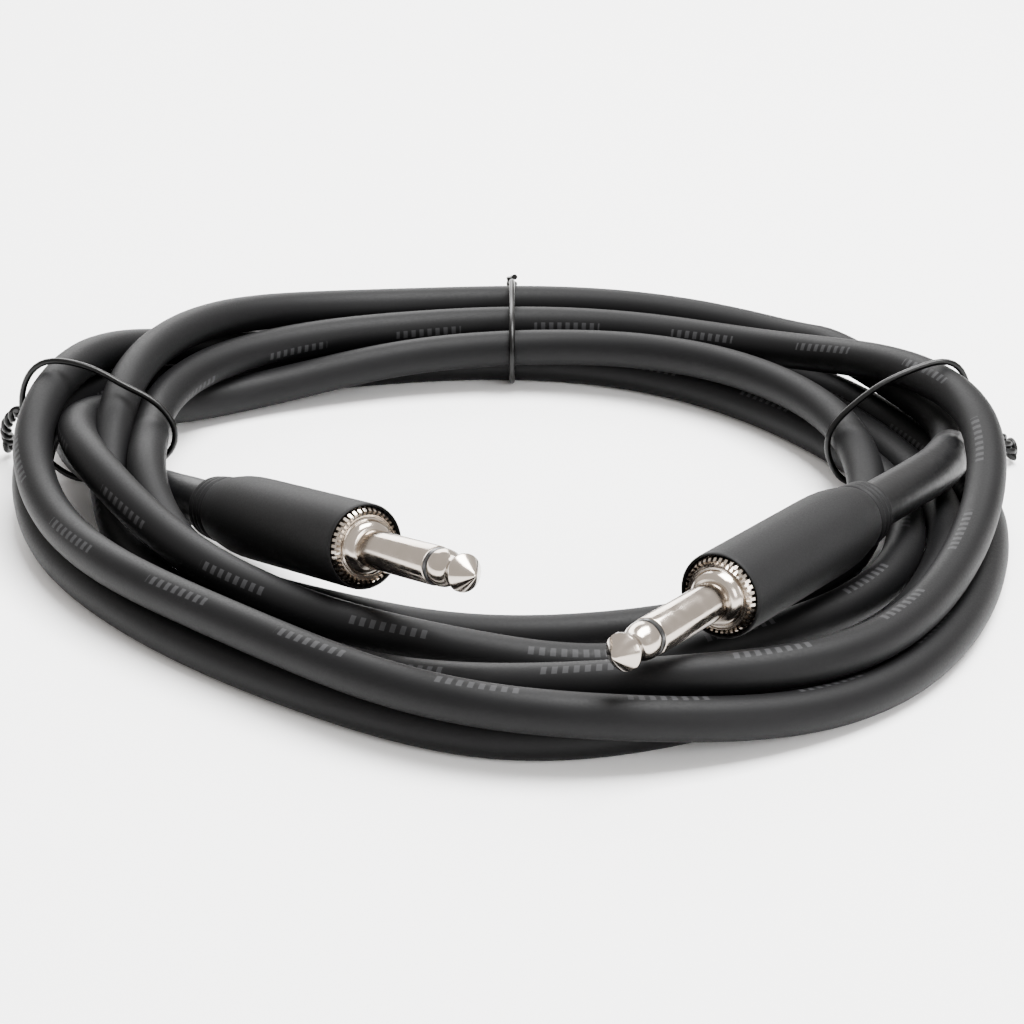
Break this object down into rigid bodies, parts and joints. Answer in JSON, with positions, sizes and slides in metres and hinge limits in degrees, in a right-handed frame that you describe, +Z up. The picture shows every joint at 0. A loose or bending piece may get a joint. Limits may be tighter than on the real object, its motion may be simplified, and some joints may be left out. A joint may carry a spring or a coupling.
{
  "type": "instrument cable",
  "caption": "Screened instrument lead in a loose flat coil, with a straight mono jack plug on each end and three twist ties.",
  "frame": {"origin": "middle of the object's footprint, on the surface that the coil lies on", "axes": "+Z up from that surface; +X along the longer side of the footprint, with the plugs' open side of the coil towards -Y"},
  "size_m": [0.193, 0.1898, 0.0275],
  "materials": {
    "nickel_plate": "bright nickel plate on turned brass",
    "nickel_shell": "plain nickel plate on drawn steel",
    "black_insulator": "moulded nylon",
    "tinned_brass": "tinned stamped brass",
    "fibre_washer": "punched fibre",
    "boot_rubber": "matte moulded PVC rubber",
    "clear_liner": "extruded clear tube",
    "core_insulation": "extruded polyethylene",
    "bare_copper": "bare stranded copper",
    "solder": "bright solder",
    "heat_shrink": "satin shrunk polyolefin",
    "cable_jacket": "satin extruded PVC",
    "tie_plastic": "plastic coated wire"
  },
  "bodies": {
    "root": {"left_tip": "nickel_plate", "left_tip_ring": "black_insulator", "left_sleeve": "nickel_plate", "left_rod_insulator": "black_insulator", "left_collar": "nickel_plate", "left_ground_clamp": "tinned_brass", "left_rear_washer": "fibre_washer", "left_tip_tag": "tinned_brass", "left_core": "core_insulation", "left_conductor": "bare_copper", "left_shield": "bare_copper", "left_solder": "solder", "left_cable_sleeve": "heat_shrink", "right_tip": "nickel_plate", "right_tip_ring": "black_insulator", "right_sleeve": "nickel_plate", "right_rod_insulator": "black_insulator", "right_collar": "nickel_plate", "right_ground_clamp": "tinned_brass", "right_rear_washer": "fibre_washer", "right_tip_tag": "tinned_brass", "right_core": "core_insulation", "right_conductor": "bare_copper", "right_shield": "bare_copper", "right_solder": "solder", "right_cable_sleeve": "heat_shrink", "cable_coil": "cable_jacket", "left_cable_tail": "cable_jacket", "right_cable_tail": "cable_jacket", "back_tie": "tie_plastic", "left_tie": "tie_plastic", "right_tie": "tie_plastic"},
    "left_liner_slide": {"left_liner": "clear_liner"},
    "left_shell": {"left_barrel": "nickel_shell", "left_boot": "boot_rubber"},
    "right_liner_slide": {"right_liner": "clear_liner"},
    "right_shell": {"right_barrel": "nickel_shell", "right_boot": "boot_rubber"}
  },
  "joints": [
    {"name": "left_shell_back", "type": "slide", "parent": "root", "child": "left_liner_slide", "axis": [-0.5782, 0.7871, -0.2147], "range_m": [0, 0.005]},
    {"name": "left_shell_turn", "type": "hinge", "parent": "left_liner_slide", "child": "left_shell", "pos_m": [-0.03376, -0.03571, 0.01431], "axis": [-0.5782, 0.7871, -0.2147], "range_deg": [0, 1800]},
    {"name": "right_shell_back", "type": "slide", "parent": "root", "child": "right_liner_slide", "axis": [0.5603, 0.8244, -0.0802], "range_m": [0, 0.005]},
    {"name": "right_shell_turn", "type": "hinge", "parent": "right_liner_slide", "child": "right_shell", "pos_m": [0.04421, -0.05116, 0.016], "axis": [0.5603, 0.8244, -0.0802], "range_deg": [0, 1800]}
  ],
  "couplings": [
    {"joint": "left_shell_turn", "follows": "left_shell_back", "rad_per_m": 6283},
    {"joint": "right_shell_turn", "follows": "right_shell_back", "rad_per_m": 6283}
  ]
}
